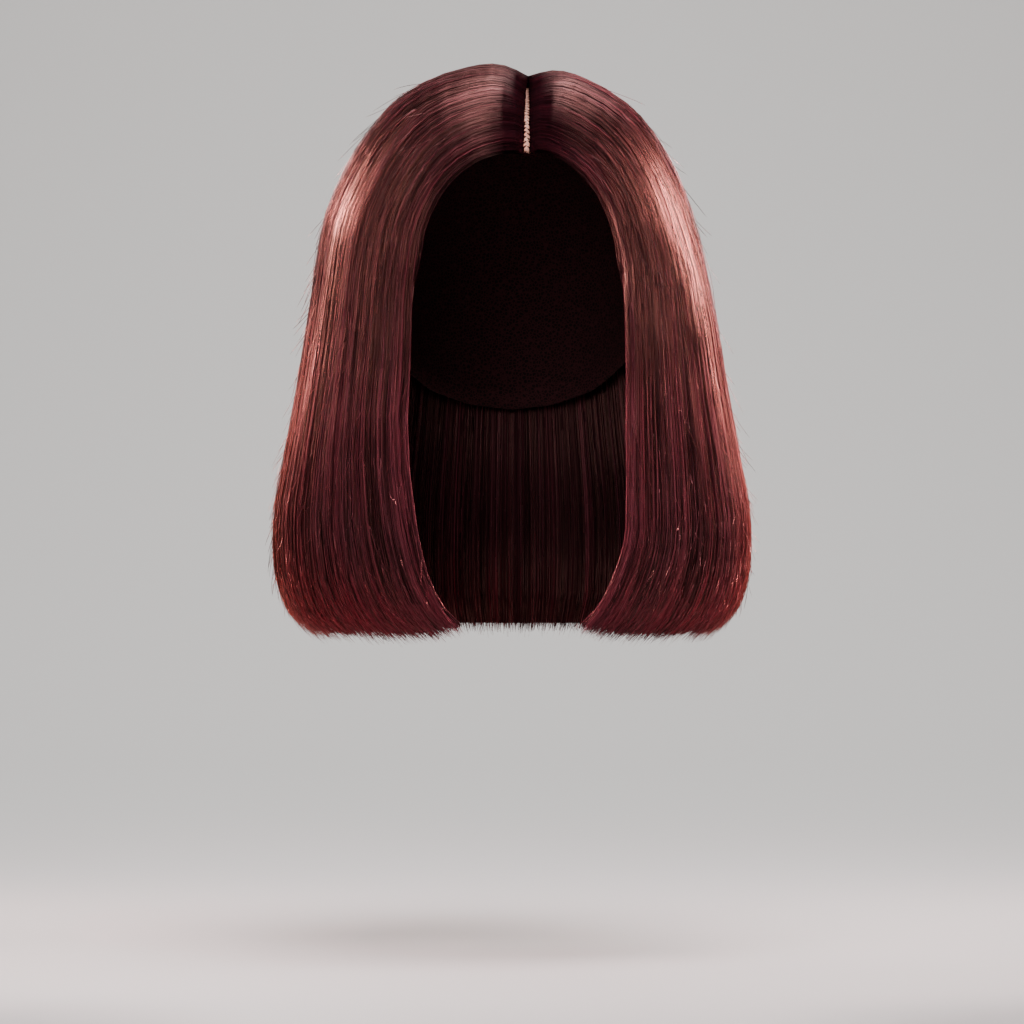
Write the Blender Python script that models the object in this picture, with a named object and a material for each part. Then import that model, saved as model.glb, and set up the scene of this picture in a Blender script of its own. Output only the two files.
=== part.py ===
"""A chin-length bob wig with a centre parting, as it stands when it is worn.

The frame is in metres: +Z up, the face side towards -Y, +X to the right of someone
who looks at the face. The origin is where the crown of the head touches the cap.

A thin cap fits the head. A pale parting strip lies along its top. The hair is three
thick walls of locks that leave the head and neck space open: one for each side of
the parting, and one that falls from the crown down the back.
"""

import math

import bpy
from mathutils import Vector

# The head that the cap fits, which is about 550 mm round
head_half_width = 0.0765
head_front = 0.0940
head_back = 0.0990
head_dome = 0.0950
head_lower = 0.1300

# The cap
cap_wall = 0.0015
cap_depth = 0.1650
hairline_reach = 0.0770

# The parting
parting_offset = 0.0075
parting_width = 0.0024
crown_setback = 0.0140
crown_opening = 0.0030
strip_width = 0.0120
strip_wall = 0.0008
strip_seat_gap = 0.0004
strip_clearance = 0.0005
strip_front_share = 0.30
strip_taper = 0.25
strip_cleared_from = 0.08
strip_cleared_to = 0.20

# The hair over the dome of the head
seat_gap = 0.0008
root_lift = 0.0020
top_lift = 0.0140
side_lift = 0.0252
front_lift = 0.0010
back_lift = 0.0165
hairline_overhang = 0.0010

# The hair below the widest part of the head
hair_drop = 0.2900
side_flare = 0.0223
inner_flare = 0.0200
back_tuck = 0.0200
inner_back_tuck = 0.0250
face_half_opening = 0.0540
edge_reach_left = 0.0785
edge_reach_right = 0.0735

# The locks
lock_height = 0.0018
tip_stagger = 0.0022
hem_rise = 0.0070
lock_fullness = 0.6
lock_variety = 0.25
locks_full_from = 0.62
places_each_lock = 4
probe = 0.01
section_gap = 0.0006
side_locks = 10
back_locks = 14

# Places across one half of the hair: 0 at the face, 1 at the middle of the back
side_place = 0.40
crown_place = 0.55
full_lift_place = 0.28
fan_from_share = 0.75
edge_angle_left = math.radians(53.8)
edge_angle_right = math.radians(46.8)
edge_sweep_left = 2.2
edge_sweep_right = 0.50
crown_angle = math.radians(22.0)
edge_lift_share = 0.20
lift_done_by = 0.14

# The hair over the dome, a row for each section: way is the share of a hair's way
# from its root to the widest part of the head, and the other two are shares of the
# lift of the hair off the cap.
DOME_ROWS = (
    # way, lift_left, lift_right
    (0.00, 0.00, 0.00),
    (0.04, 0.58, 0.54),
    (0.10, 0.92, 0.88),
    (0.19, 1.02, 0.98),
    (0.31, 1.08, 0.98),
    (0.44, 1.08, 0.94),
    (0.57, 0.93, 0.82),
    (0.70, 0.87, 0.79),
    (0.84, 0.93, 0.79),
    (0.97, 1.00, 0.93),
)

# The outer surface below the widest part of the head, a row for each section.
# fall is a share of the drop from there to the hem, out of side_flare, tuck of
# back_tuck, edge_left and edge_right of face_half_opening, edge_front of the edge reach
# on that side.
OUTER_ROWS = (
    # fall, out, tuck, edge_left, edge_right, edge_front
    (0.077, 0.10, 0.01, 0.95, 1.07, 0.985),
    (0.210, 0.29, 0.03, 0.96, 1.09, 1.000),
    (0.420, 0.60, 0.20, 1.00, 1.09, 1.000),
    (0.600, 0.92, 0.27, 0.96, 1.09, 0.990),
    (0.745, 1.00, 0.22, 0.88, 1.07, 0.980),
    (0.860, 0.88, 0.33, 0.77, 0.94, 0.965),
    (0.940, 0.55, 0.60, 0.62, 0.80, 0.945),
    (0.982, 0.07, 1.00, 0.47, 0.65, 0.925),
)

# The inner surface, with the same columns: out is a share of inner_flare and tuck of
# inner_back_tuck.
INNER_ROWS = (
    (0.085, 0.10, 0.02, 0.95, 1.07, 0.960),
    (0.215, 0.28, 0.20, 0.97, 1.10, 0.945),
    (0.425, 0.58, 0.58, 1.02, 1.11, 0.915),
    (0.605, 0.88, 0.60, 0.99, 1.12, 0.895),
    (0.750, 1.00, 0.56, 0.91, 1.10, 0.885),
    (0.865, 0.96, 0.62, 0.80, 0.97, 0.870),
    (0.950, 0.75, 0.78, 0.64, 0.82, 0.855),
    (1.000, 0.30, 1.04, 0.50, 0.69, 0.845),
)

# How far the hem rises at a place across one half, as a share of hem_rise
HEM_ROWS = (
    # place, rise
    (0.00, 1.00),
    (0.07, 0.25),
    (0.16, 0.00),
    (0.28, 0.35),
    (0.42, 0.45),
    (0.60, 0.35),
    (1.00, 0.20),
)

# The cap's rim round one half: angle from the side of the head, in degrees, and
# drop as a share of cap_depth.
RIM = (
    # angle, drop
    (-90.0, 0.230),
    (-67.5, 0.225),
    (-55.0, 0.290),
    (-49.0, 0.385),
    (-44.0, 0.510),
    (-35.0, 0.650),
    (-25.0, 0.725),
    (-8.0, 0.680),
    (10.0, 0.700),
    (28.0, 0.830),
    (50.0, 0.940),
    (70.0, 0.985),
    (90.0, 1.000),
)

cap_columns = 48
cap_rows = 8
strip_rows = 14
strip_columns = 4

COLOURS = {
    # name: colour, roughness, specular level
    "fibre_side": ((0.115, 0.018, 0.024), 0.36, 0.6),
    "fibre_back": ((0.085, 0.014, 0.020), 0.40, 0.6),
    "cap_net": ((0.030, 0.010, 0.012), 0.80, 0.3),
    "parting_lace": ((0.680, 0.520, 0.420), 0.70, 0.3),
}

centre_height = -head_dome
curtain_drop = hair_drop - head_dome


def smooth(share):
    """An eased step from 0 to 1."""
    share = min(1.0, max(0.0, share))
    return share * share * (3.0 - 2.0 * share)


def mix(low, high, share):
    return low + (high - low) * share


def semi_axes(direction, grow):
    """The head's half sizes in this unit direction, grown by a wall on every side."""
    depth = head_back if direction.y >= 0.0 else head_front
    height = head_dome if direction.z >= 0.0 else head_lower
    return Vector((head_half_width + grow, depth + grow, height + grow))


def on_head(direction, grow):
    """The point in a unit direction on the head, grown outwards."""
    size = semi_axes(direction, grow)
    return Vector(
        (
            direction.x * size.x,
            direction.y * size.y,
            centre_height + direction.z * size.z,
        )
    )


def direction_above(x, y):
    """The unit direction of the point of the cap that lies above a place in plan."""
    grow = cap_wall
    across = x / (head_half_width + grow)
    along = y / ((head_back if y >= 0.0 else head_front) + grow)
    return Vector((across, along, math.sqrt(max(0.0, 1.0 - across**2 - along**2))))


def table_value(rows, key):
    """The second column of a table at a value of its first."""
    for (low, low_value), (high, high_value) in zip(rows, rows[1:]):
        if key <= high:
            return mix(low_value, high_value, (key - low) / (high - low))
    return rows[-1][1]


def rim_height(angle):
    """The height of the cap's rim at an angle round one half of the head, in degrees."""
    return -cap_depth * table_value(RIM, angle)


def edge_angle(side):
    return edge_angle_left if side < 0 else edge_angle_right


def angle_of(side, place):
    """The angle round the head where a hair ends up, from the side towards the back."""
    if place <= side_place:
        return -edge_angle(side) * (1.0 - place / side_place)
    if place <= crown_place:
        return crown_angle * (place - side_place) / (crown_place - side_place)
    share = (place - crown_place) / (1.0 - crown_place)
    return mix(crown_angle, math.pi / 2.0, share)


def root_of(side, place):
    """The unit direction of a hair's root, on the parting or round the crown."""
    if place <= crown_place:
        y = mix(-hairline_reach - hairline_overhang, crown_setback, place / crown_place)
        return direction_above(parting_offset + side * parting_width / 2.0, y)
    turn = math.pi / 2.0 * (place - crown_place) / (1.0 - crown_place)
    reach = mix(parting_width / 2.0, crown_opening, math.sin(turn))
    return direction_above(
        parting_offset + side * reach * math.cos(turn),
        crown_setback + reach * math.sin(turn),
    )


def way_down(side, place, share):
    """The unit direction at a share of a hair's way from its root to the widest part.

    Hair from the parting falls in planes across the head. Hair from the crown falls
    along the shortest way to its place round the head.
    """
    root = root_of(side, place)
    angle = angle_of(side, place)
    end = Vector((side * math.cos(angle), math.sin(angle), 0.0))
    fanned = root.slerp(end, share)

    sweep = edge_sweep_left if side < 0 else edge_sweep_right
    bend = mix(sweep, 1.0, smooth(place / full_lift_place))
    along = mix(root.y, end.y, share**bend)
    reach = math.sqrt(1.0 - along**2)
    start_turn = math.asin(side * root.x / math.sqrt(1.0 - root.y**2))
    turn = mix(start_turn, math.pi / 2.0, share)
    across = Vector((side * reach * math.sin(turn), along, reach * math.cos(turn)))

    fan = smooth((place / crown_place - fan_from_share) / (1.0 - fan_from_share))
    return across.lerp(fanned, fan).normalized()


def lift_share(place):
    """How much of its full thickness the hair has at this place across one half."""
    return mix(edge_lift_share, 1.0, smooth(place / full_lift_place))


def strip_level(share):
    """How far over the cap the underside of the hair runs to clear the strip."""
    width = strip_cleared_to - strip_cleared_from
    over_strip = 1.0 - smooth((share - strip_cleared_from) / width)
    return mix(seat_gap, strip_seat_gap + strip_wall + strip_clearance, over_strip)


def outer_dome(side, place, row):
    way, lift_left, lift_right = row
    direction = way_down(side, place, way)
    lift = lift_share(place) * (lift_left if side < 0 else lift_right)
    level = strip_level(way) + root_lift * (1.0 - smooth(way / lift_done_by))
    depth_lift = back_lift if direction.y >= 0.0 else front_lift
    return on_head(direction, cap_wall + level) + Vector(
        (
            direction.x * side_lift * lift,
            direction.y * depth_lift * lift,
            direction.z * top_lift * lift,
        )
    )


def inner_dome(side, place, row):
    way = row[0]
    return on_head(way_down(side, place, way), cap_wall + strip_level(way))


def curtain_point(side, place, row, half_width, back_reach, flare, back_draw):
    """A point of a hanging row, at a place across one half of the hair."""
    fall, out, tuck, edge_left, edge_right, edge_front = row
    angle = angle_of(side, place)
    edge = face_half_opening * (edge_left if side < 0 else edge_right)
    edge_size = edge / math.cos(edge_angle(side))
    side_size = half_width + flare * out
    width = mix(edge_size, side_size, smooth(place / full_lift_place))
    if angle < 0.0:
        reach = edge_reach_left if side < 0 else edge_reach_right
        depth = reach * edge_front / math.sin(edge_angle(side))
    else:
        depth = back_reach - back_draw * tuck
    rise = hem_rise * table_value(HEM_ROWS, place) * fall**4
    return Vector(
        (
            side * width * math.cos(angle),
            depth * math.sin(angle),
            centre_height - curtain_drop * fall + rise,
        )
    )


def clear_of_cap(point):
    """The point itself, or the nearest one outwards that the cap leaves free."""
    lower = point.z < centre_height
    height = (head_lower if lower else head_dome) + cap_wall
    level = (point.z - centre_height) / height
    across = point.x / (head_half_width + cap_wall + seat_gap)
    along = point.y / ((head_back if point.y > 0 else head_front) + cap_wall + seat_gap)
    angle = math.degrees(math.atan2(along, abs(across)))
    reach = math.hypot(across, along)
    free = math.sqrt(max(0.0, 1.0 - level**2))
    above_rim = point.z > rim_height(angle) - 0.05 * cap_depth
    if above_rim and reach < free:
        return Vector((point.x * free / reach, point.y * free / reach, point.z))
    return point


def outer_column(side, place):
    points = [outer_dome(side, place, row) for row in DOME_ROWS]
    half_width = head_half_width + cap_wall + seat_gap + side_lift
    back_reach = head_back + cap_wall + seat_gap + back_lift
    for row in OUTER_ROWS:
        points.append(
            curtain_point(
                side, place, row, half_width, back_reach, side_flare, back_tuck
            )
        )
    return points


def inner_column(side, place):
    points = [inner_dome(side, place, row) for row in DOME_ROWS]
    half_width = head_half_width + cap_wall + seat_gap
    back_reach = head_back + cap_wall + seat_gap
    for row in INNER_ROWS:
        point = curtain_point(
            side, place, row, half_width, back_reach, inner_flare, inner_back_tuck
        )
        points.append(clear_of_cap(point))
    return points


def lock_profile(within):
    """The height of a lock across its width, from one groove to the next."""
    return math.sin(math.pi * within) ** lock_fullness


def outwards(spot, column):
    """The unit directions out of the hair's surface along a column."""
    side, place = spot
    low = outer_column(side, max(0.0, place - probe))
    high = outer_column(side, min(1.0, place + probe))
    rows = len(column)
    found = []
    for j, point in enumerate(column):
        along = column[min(j + 1, rows - 1)] - column[max(j - 1, 0)]
        across = high[j] - low[j]
        out = along.cross(across).normalized()
        if out.dot(Vector((point.x, point.y, probe))) < 0.0:
            out.negate()
        found.append(out)
    return found


def with_locks(line, locks, phase):
    """Outer columns with rounded locks raised on them, and with staggered tips."""
    raised = []
    for i, spot in enumerate(line):
        column = outer_column(*spot)
        position = i / (len(line) - 1) * locks
        number = math.floor(min(position, locks - 1e-6))
        height = lock_profile(min(1.0, max(0.0, position - number)))
        size = 1.0 - lock_variety + lock_variety * math.sin(2.4 * number + phase)
        tip = tip_stagger * math.sin(1.9 * number + phase) * height
        moved = []
        for j, (point, out) in enumerate(zip(column, outwards(spot, column))):
            grown = smooth(j / (len(column) - 1) / locks_full_from)
            moved.append(point + out * (lock_height * (size * height - 0.5) * grown))
        moved[-1].z -= tip
        raised.append(moved)
    return raised


def shifted(column, other, distance):
    """A column moved away from the one next to it, to leave room for its neighbour."""
    moved = []
    for point, beside in zip(column, other):
        away = point - beside
        reach = away.length
        step = min(distance, 0.5 * reach)
        moved.append(point - away * (step / reach))
    return moved


def places_between(low, high, locks):
    """Places across each lock, so that its groove and its crest both show."""
    steps = locks * places_each_lock
    return [mix(low, high, i / steps) for i in range(steps + 1)]


def material(name):
    colour, roughness, specular = COLOURS[name]
    made = bpy.data.materials.new(name)
    made.use_nodes = True
    shader = made.node_tree.nodes["Principled BSDF"]
    shader.inputs["Base Color"].default_value = (*colour, 1.0)
    shader.inputs["Roughness"].default_value = roughness
    shader.inputs["Specular IOR Level"].default_value = specular
    made.diffuse_color = (*colour, 1.0)
    return made


def add_object(name, points, faces, finish):
    mesh = bpy.data.meshes.new(name)
    mesh.from_pydata([tuple(point) for point in points], [], faces)
    mesh.validate()
    mesh.materials.append(material(finish))
    mesh.shade_smooth()
    mesh.set_sharp_from_angle(angle=math.radians(50.0))
    made = bpy.data.objects.new(name, mesh)
    bpy.context.scene.collection.objects.link(made)
    return made


def wall_between(outer, inner):
    """The points and faces of the closed wall between two grids of the same size."""
    columns = len(outer)
    rows = len(outer[0])
    points = [p for column in outer for p in column]
    points += [p for column in inner for p in column]
    below = columns * rows

    def at(i, j, layer):
        return layer * below + i * rows + j

    faces = []
    for i in range(columns - 1):
        for j in range(rows - 1):
            corners = ((i, j), (i + 1, j), (i + 1, j + 1), (i, j + 1))
            faces.append([at(a, b, 0) for a, b in corners])
            faces.append([at(a, b, 1) for a, b in reversed(corners)])
    for i in range(columns - 1):
        faces.append([at(i + 1, 0, 0), at(i, 0, 0), at(i, 0, 1), at(i + 1, 0, 1)])
        end = rows - 1
        faces.append([at(i, end, 0), at(i + 1, end, 0), at(i + 1, end, 1), at(i, end, 1)])
    last = columns - 1
    for j in range(rows - 1):
        faces.append([at(0, j, 0), at(0, j + 1, 0), at(0, j + 1, 1)])
        faces.append([at(0, j, 0), at(0, j + 1, 1), at(0, j, 1)])
        faces.append([at(last, j + 1, 0), at(last, j, 0), at(last, j + 1, 1)])
        faces.append([at(last, j + 1, 1), at(last, j, 0), at(last, j, 1)])
    return points, faces


def volume_of(points, faces):
    """Six times the signed volume, to see which way the faces point."""
    total = 0.0
    for face in faces:
        first = points[face[0]]
        for a, b in zip(face[1:], face[2:]):
            total += first.dot(points[a].cross(points[b]))
    return total


def add_wall(name, outer, inner, finish):
    points, faces = wall_between(outer, inner)
    if volume_of(points, faces) < 0.0:
        faces = [face[::-1] for face in faces]
    return add_object(name, points, faces, finish)


def add_hair(name, line, locks, finish, phase, open_ends):
    """One section of hair. line holds (side, place) for each column across it, and
    open_ends says which of its two ends keep clear of the section beside them."""
    outer = with_locks(line, locks, phase)
    inner = [inner_column(*spot) for spot in line]
    for grid in (outer, inner):
        if open_ends[0]:
            grid[0] = shifted(grid[0], grid[1], section_gap / 2.0)
        if open_ends[1]:
            grid[-1] = shifted(grid[-1], grid[-2], section_gap / 2.0)
    return add_wall(name, outer, inner, finish)


def add_sections():
    across = places_between(0.0, crown_place, side_locks)
    add_hair("hair_left", [(-1, p) for p in across], side_locks, "fibre_side", 0.4, (False, True))
    add_hair("hair_right", [(1, p) for p in across], side_locks, "fibre_side", 1.7, (False, True))
    half = places_between(crown_place, 1.0, back_locks // 2)
    round_back = [(-1, p) for p in half] + [(1, p) for p in half[-2::-1]]
    add_hair("hair_back", round_back, back_locks, "fibre_back", 2.6, (True, True))


def cap_direction(turn, share):
    """The unit direction of a point of the cap: turn round the head in radians, and a
    share of the way from the crown to the rim."""
    angle = math.degrees(math.atan2(math.sin(turn), abs(math.cos(turn))))
    level = rim_height(angle) - centre_height
    polar = math.acos(level / (head_dome if level >= 0.0 else head_lower))
    tilt = polar * share
    return Vector(
        (
            math.sin(tilt) * math.cos(turn),
            math.sin(tilt) * math.sin(turn),
            math.cos(tilt),
        )
    )


def add_cap():
    """The cap: a thin shell over the head, cut off along its rim."""
    points = []
    for grow in (cap_wall, 0.0):
        points.append(on_head(Vector((0.0, 0.0, 1.0)), grow))
        for row in range(1, cap_rows + 1):
            for column in range(cap_columns):
                turn = 2.0 * math.pi * column / cap_columns - math.pi / 2.0
                points.append(on_head(cap_direction(turn, row / cap_rows), grow))
    layer = 1 + cap_rows * cap_columns

    def at(level, row, column):
        if row == 0:
            return level * layer
        return level * layer + 1 + (row - 1) * cap_columns + column % cap_columns

    faces = []
    for column in range(cap_columns):
        faces.append([at(0, 0, 0), at(0, 1, column), at(0, 1, column + 1)])
        faces.append([at(1, 0, 0), at(1, 1, column + 1), at(1, 1, column)])
        for row in range(1, cap_rows):
            corners = ((row, column), (row + 1, column), (row + 1, column + 1), (row, column + 1))
            faces.append([at(0, a, b) for a, b in corners])
            faces.append([at(1, a, b) for a, b in reversed(corners)])
        faces.append(
            [
                at(0, cap_rows, column),
                at(1, cap_rows, column),
                at(1, cap_rows, column + 1),
                at(0, cap_rows, column + 1),
            ]
        )
    add_object("wig_cap", points, faces, "cap_net")


def add_parting_strip():
    """The pale strip that shows along the parting, from the hairline to the crown."""
    start = -hairline_reach
    end = crown_setback + strip_width / 2.0
    grids = []
    for grow in (cap_wall + strip_seat_gap + strip_wall, cap_wall + strip_seat_gap):
        grid = []
        for row in range(strip_rows + 1):
            y = mix(start, end, row / strip_rows)
            widened = smooth(row / strip_rows / strip_taper)
            width = strip_width * mix(strip_front_share, 1.0, widened)
            line = []
            for column in range(strip_columns + 1):
                x = parting_offset + width * (column / strip_columns - 0.5)
                line.append(on_head(direction_above(x, y), grow))
            grid.append(line)
        grids.append(grid)
    add_wall("parting_strip", grids[0], grids[1], "parting_lace")


def main():
    for old in list(bpy.data.objects):
        bpy.data.objects.remove(old)
    add_cap()
    add_parting_strip()
    add_sections()


main()
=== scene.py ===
import math

import bpy
import numpy as np
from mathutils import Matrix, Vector


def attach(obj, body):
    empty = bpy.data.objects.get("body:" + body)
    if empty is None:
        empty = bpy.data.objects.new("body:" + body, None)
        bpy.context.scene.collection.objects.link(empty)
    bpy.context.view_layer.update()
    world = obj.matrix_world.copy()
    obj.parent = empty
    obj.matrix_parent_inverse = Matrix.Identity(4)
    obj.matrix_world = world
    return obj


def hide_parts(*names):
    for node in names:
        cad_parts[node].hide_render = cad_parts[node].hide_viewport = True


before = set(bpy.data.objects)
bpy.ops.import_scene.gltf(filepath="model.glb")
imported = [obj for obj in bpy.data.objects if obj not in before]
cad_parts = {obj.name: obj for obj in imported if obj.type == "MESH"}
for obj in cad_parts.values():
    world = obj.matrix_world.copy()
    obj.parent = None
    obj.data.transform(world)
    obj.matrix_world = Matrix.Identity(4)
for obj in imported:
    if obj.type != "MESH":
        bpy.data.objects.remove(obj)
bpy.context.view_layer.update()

mm = 0.001

# Lengths are in metres unless a note says otherwise. Z is 0 at the crown inside the cap,
# and the hair and the cap have the shape of the frame's solids.
fit = {  # the inside of the cap: rounded above its widest level and below it
    "halfWidth": 0.0765,
    "front": 0.0940,
    "back": 0.0990,
    "dome": 0.0950,  # from the widest level up to the crown
    "lower": 0.1300,
}

cap = {
    "wall": 0.0015,
    "depth": 0.1650,
    "columns": 96,
    "rows": 22,
    "poleShare": 0.004,  # how near to the crown its first row lies
    "rim": (  # degrees from the side, and drop as a share of the depth
        (-90.0, 0.230),
        (-67.5, 0.225),
        (-55.0, 0.290),
        (-49.0, 0.385),
        (-44.0, 0.510),
        (-35.0, 0.650),
        (-25.0, 0.725),
        (-8.0, 0.680),
        (10.0, 0.700),
        (28.0, 0.830),
        (50.0, 0.940),
        (70.0, 0.985),
        (90.0, 1.000),
    ),
}

parting = {
    "offset": 0.0075,
    "hairline": -0.0780,
    "crown": 0.0140,
    "crownOpening": 0.0004,
    "gapAtCrown": -0.0012,  # between the roots of the two sides: they cross there
    "gapAtFront": 0.0005,
    "stripWidth": 0.0120,
    "stripFront": 0.30,  # share of the width at the hairline
    "stripTaper": 0.16,
    "stripInset": 0.0010,  # behind the hairline
    "stripWall": 0.0008,
    "stripLift": 0.0004,  # over the cap
    "stripRows": 60,
    "stripColumns": 8,
}

# Places run from 0 at the front edge of the hair to 1 at the middle of the back, on the
# left side (-1) and on the right (1). Falls run from 0 at a hair's root to 1 at its tip.
hair = {
    "drop": 0.2900,  # from the crown to the hem
    "rootLevel": 0.0017,  # of the roots beside the parting, over the cap
    "overStrip": (0.08, 0.12),  # way at which that level begins to end, and over how much
    "crownValley": 0.45,  # share of the full lift that the roots have at the crown
    "topLift": 0.0140,  # how far the hair stands off the cap
    "sideLift": 0.0252,
    "frontLift": 0.0010,
    "backLift": 0.0165,
    "seat": 0.0008,  # between the cap and the hair
    "sideFlare": 0.0223,  # how much wider the hair gets below the cap
    "innerFlare": 0.0200,
    "backTuck": 0.0200,  # how far the back comes in at the hem
    "innerBackTuck": 0.0250,
    "frontHalfOpening": 0.0540,
    "edgeReach": {-1: 0.0785, 1: 0.0735},  # how far forward the front edges hang
    "edgeAngle": {-1: 53.8, 1: 46.8},  # degrees from the side to the front edge
    "edgeSweep": {-1: 2.2, 1: 0.5},  # over 1 the front edge leaves the hairline late
    "hemRise": 0.0070,
    "hemPower": 4,  # keeps the rise near the hem
    "sidePlace": 0.40,
    "crownPlace": 0.55,
    "fanFrom": 0.75,  # share of the crown's place from which the roots fan out
    "fullLiftPlace": 0.28,
    "crownAngle": 22.0,
    "edgeLiftShare": 0.20,
    "columns": 161,
    "rows": 97,
    "placeStep": 0.012,  # to the neighbours that give the direction outwards
    "fallStep": 0.015,
    "outwardRise": 0.030,  # how much outwards is also up
    "dome": (  # way, lift on the left, lift on the right
        (0.00, 0.00, 0.00),
        (0.02, 0.10, 0.10),
        (0.045, 0.27, 0.27),
        (0.08, 0.52, 0.51),
        (0.13, 0.79, 0.76),
        (0.20, 0.95, 0.89),
        (0.31, 1.03, 0.91),
        (0.44, 1.02, 0.86),
        (0.57, 0.90, 0.74),
        (0.70, 0.84, 0.70),
        (0.84, 0.91, 0.72),
        (0.97, 0.98, 0.89),
    ),
    "outer": (  # fall, out, tuck, edge on the left, edge on the right, edge front
        (0.077, 0.10, 0.01, 0.95, 1.07, 0.985),
        (0.210, 0.29, 0.03, 0.96, 1.09, 1.000),
        (0.420, 0.60, 0.20, 1.00, 1.09, 1.000),
        (0.600, 0.92, 0.27, 0.96, 1.09, 0.990),
        (0.745, 1.00, 0.22, 0.88, 1.07, 0.980),
        (0.860, 0.88, 0.33, 0.77, 0.94, 0.965),
        (0.940, 0.55, 0.60, 0.62, 0.80, 0.945),
        (0.982, 0.07, 1.00, 0.47, 0.65, 0.925),
    ),
    "inner": (  # the same columns
        (0.085, 0.10, 0.02, 0.95, 1.07, 0.960),
        (0.215, 0.28, 0.20, 0.97, 1.10, 0.945),
        (0.425, 0.58, 0.58, 1.02, 1.11, 0.915),
        (0.605, 0.88, 0.60, 0.99, 1.12, 0.895),
        (0.750, 1.00, 0.56, 0.91, 1.10, 0.885),
        (0.865, 0.96, 0.62, 0.80, 0.97, 0.870),
        (0.950, 0.75, 0.78, 0.64, 0.82, 0.855),
        (1.000, 0.30, 1.04, 0.50, 0.69, 0.845),
    ),
    "hem": (  # place, rise as a share of hemRise
        (0.00, 1.00),
        (0.07, 0.25),
        (0.16, 0.00),
        (0.28, 0.35),
        (0.42, 0.45),
        (0.60, 0.35),
        (1.00, 0.20),
    ),
}

centreHeight = -fit["dome"]  # of the widest level
curtainDrop = hair["drop"] - fit["dome"]


def smooth(share):
    share = np.clip(share, 0.0, 1.0)
    return share * share * (3.0 - 2.0 * share)


def mix(low, high, share):
    return low + (high - low) * share


def grown(value, begin, run):
    # 0 until it begins, 1 once it has run, and smooth between
    return smooth((value - begin) / run)


def tableValue(rows, key):
    keys, values = zip(*rows)
    return float(np.interp(key, keys, values))


# The shape of the hair
def onCap(direction, grow):
    # the cap's inside in one direction from its centre, grown outwards
    depth = fit["back"] if direction.y >= 0.0 else fit["front"]
    height = fit["dome"] if direction.z >= 0.0 else fit["lower"]
    return Vector(
        (
            direction.x * (fit["halfWidth"] + grow),
            direction.y * (depth + grow),
            centreHeight + direction.z * (height + grow),
        )
    )


def directionAbove(x, y):
    # the direction from the centre to the cap's outside above x and y
    across = x / (fit["halfWidth"] + cap["wall"])
    along = y / ((fit["back"] if y >= 0.0 else fit["front"]) + cap["wall"])
    return Vector((across, along, math.sqrt(max(0.0, 1.0 - across**2 - along**2))))


def angleOf(side, place):
    # how far round a place hangs: radians from the side towards the back
    edge = math.radians(hair["edgeAngle"][side])
    crown = math.radians(hair["crownAngle"])
    if place <= hair["sidePlace"]:
        return -edge * (1.0 - place / hair["sidePlace"])
    if place <= hair["crownPlace"]:
        return crown * (place - hair["sidePlace"]) / (hair["crownPlace"] - hair["sidePlace"])
    share = (place - hair["crownPlace"]) / (1.0 - hair["crownPlace"])
    return mix(crown, math.pi / 2.0, share)


def rootOf(side, place):
    # the direction to a place's root: along the parting, then round its end
    if place <= hair["crownPlace"]:
        share = place / hair["crownPlace"]
        y = mix(parting["hairline"], parting["crown"], share)
        gap = mix(parting["gapAtFront"], parting["gapAtCrown"], float(smooth(share)))
        return directionAbove(parting["offset"] + side * gap / 2.0, y)
    turn = math.pi / 2.0 * (place - hair["crownPlace"]) / (1.0 - hair["crownPlace"])
    reach = mix(parting["gapAtCrown"] / 2.0, parting["crownOpening"], math.sin(turn))
    return directionAbove(
        parting["offset"] + side * reach * math.cos(turn),
        parting["crown"] + reach * math.sin(turn),
    )


def wayDown(side, place, share):
    # the direction a share of the way from a root down to the widest level
    root = rootOf(side, place)
    angle = angleOf(side, place)
    end = Vector((side * math.cos(angle), math.sin(angle), 0.0))
    bend = mix(hair["edgeSweep"][side], 1.0, smooth(place / hair["fullLiftPlace"]))
    along = mix(root.y, end.y, share**bend)
    reach = math.sqrt(1.0 - along**2)
    startTurn = math.asin(side * root.x / math.sqrt(1.0 - root.y**2))
    turn = mix(startTurn, math.pi / 2.0, share)
    across = Vector((side * reach * math.sin(turn), along, reach * math.cos(turn)))
    fanFrom = hair["fanFrom"]
    fan = float(grown(place / hair["crownPlace"], fanFrom, 1.0 - fanFrom))
    return across.lerp(root.slerp(end, share), fan).normalized()


def curtainPoint(side, place, row, halfWidth, backReach, flare, backDraw):
    fall, out, tuck, edgeLeft, edgeRight, edgeFront = row
    angle = angleOf(side, place)
    edgeAngle = math.radians(hair["edgeAngle"][side])
    edge = hair["frontHalfOpening"] * (edgeLeft if side < 0 else edgeRight)
    lift = float(smooth(place / hair["fullLiftPlace"]))
    width = mix(edge / math.cos(edgeAngle), halfWidth + flare * out, lift)
    if angle < 0.0:
        depth = hair["edgeReach"][side] * edgeFront / math.sin(edgeAngle)
    else:
        depth = backReach - backDraw * tuck
    rise = hair["hemRise"] * tableValue(hair["hem"], place) * fall ** hair["hemPower"]
    return Vector(
        (
            side * width * math.cos(angle),
            depth * math.sin(angle),
            centreHeight - curtainDrop * fall + rise,
        )
    )


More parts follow.
